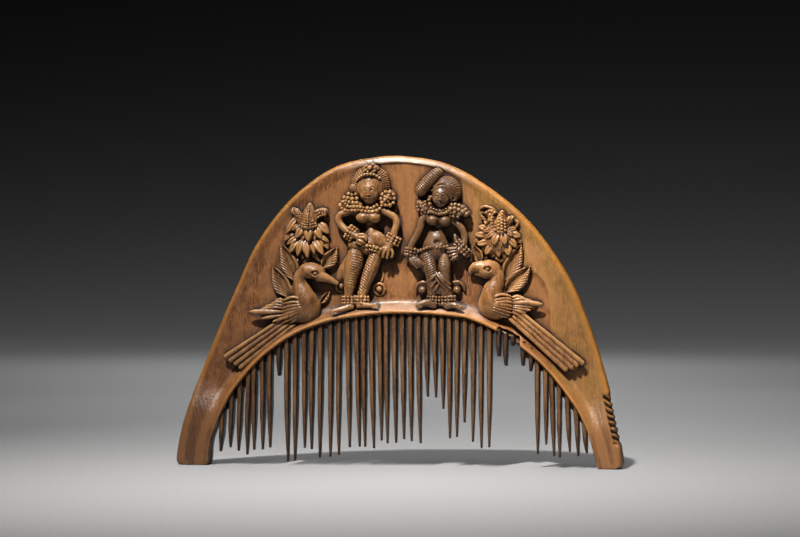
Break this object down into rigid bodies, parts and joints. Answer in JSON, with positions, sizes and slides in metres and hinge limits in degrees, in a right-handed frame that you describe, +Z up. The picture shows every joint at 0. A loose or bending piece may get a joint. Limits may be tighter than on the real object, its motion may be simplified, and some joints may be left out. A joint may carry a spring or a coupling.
{
  "type": "carved ivory comb",
  "caption": "Arched hair comb of carved ivory that stands on its thick end guards, with hand-sawn teeth under a back carved with women, birds and lotus flowers.",
  "frame": {"origin": "middle of the comb's box on the surface that its feet stand on", "axes": "+X runs along the comb to the guard on the right of the carved side, the carved front faces -Y, and +Z points up from the feet to the top of the arch"},
  "size_m": [0.1354, 0.011, 0.0934],
  "materials": {
    "ivory_back": "aged brown ivory, softly polished, darker in the recesses",
    "ivory_relief": "aged ivory worn lighter on the high places",
    "ivory_teeth": "dark brown aged ivory with saw marks"
  },
  "bodies": {
    "root": {"back_plate": "ivory_back", "tooth_01": "ivory_teeth", "tooth_02": "ivory_teeth", "tooth_03": "ivory_teeth", "tooth_04": "ivory_teeth", "tooth_05": "ivory_teeth", "tooth_06": "ivory_teeth", "tooth_07": "ivory_teeth", "tooth_08": "ivory_teeth", "tooth_09": "ivory_teeth", "tooth_10": "ivory_teeth", "tooth_11": "ivory_teeth", "tooth_12": "ivory_teeth", "tooth_13": "ivory_teeth", "tooth_14": "ivory_teeth", "tooth_15": "ivory_teeth", "tooth_16": "ivory_teeth", "tooth_17": "ivory_teeth", "tooth_18": "ivory_teeth", "tooth_19": "ivory_teeth", "tooth_20": "ivory_teeth", "tooth_21": "ivory_teeth", "tooth_22": "ivory_teeth", "tooth_23": "ivory_teeth", "tooth_24": "ivory_teeth", "tooth_25": "ivory_teeth", "tooth_26": "ivory_teeth", "tooth_27": "ivory_teeth", "tooth_28": "ivory_teeth", "tooth_29": "ivory_teeth", "tooth_30": "ivory_teeth", "tooth_31": "ivory_teeth", "tooth_32": "ivory_teeth", "tooth_33": "ivory_teeth", "tooth_34": "ivory_teeth", "tooth_35": "ivory_teeth", "tooth_36": "ivory_teeth", "tooth_37": "ivory_teeth", "tooth_38": "ivory_teeth", "tooth_39": "ivory_teeth", "tooth_40": "ivory_teeth", "tooth_stubs": "ivory_teeth", "figure_left": "ivory_relief", "figure_right": "ivory_relief", "bird_left": "ivory_relief", "bird_right": "ivory_relief", "flower_left": "ivory_relief", "flower_right": "ivory_relief"}
  },
  "joints": []
}
